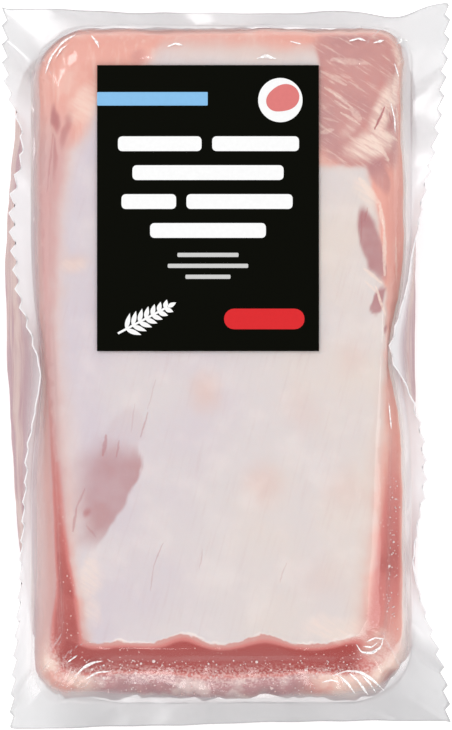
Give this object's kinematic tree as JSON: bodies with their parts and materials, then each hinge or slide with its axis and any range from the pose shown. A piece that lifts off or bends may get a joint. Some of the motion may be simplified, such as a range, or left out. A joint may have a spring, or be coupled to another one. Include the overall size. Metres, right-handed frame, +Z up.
{
  "type": "vacuum-packed pork loin",
  "caption": "Boneless pork loin piece drawn into a clear vacuum film, with a flat top face, a groove round it, a toothed seal edge and a plain label.",
  "frame": {"origin": "on the surface that the pack lies on, under the middle of its outline", "axes": "+Z up from the surface, towards the labelled face; +Y along the pack, towards the end with the label; +X across it"},
  "size_m": [0.1416, 0.2284, 0.048],
  "materials": {
    "film_and_meat": "clear glossy film drawn tight over pale pink meat with a lilac-white skin",
    "label": "black printed satin label"
  },
  "bodies": {
    "root": {"sealed_pack": "film_and_meat", "label": "label"}
  },
  "joints": []
}
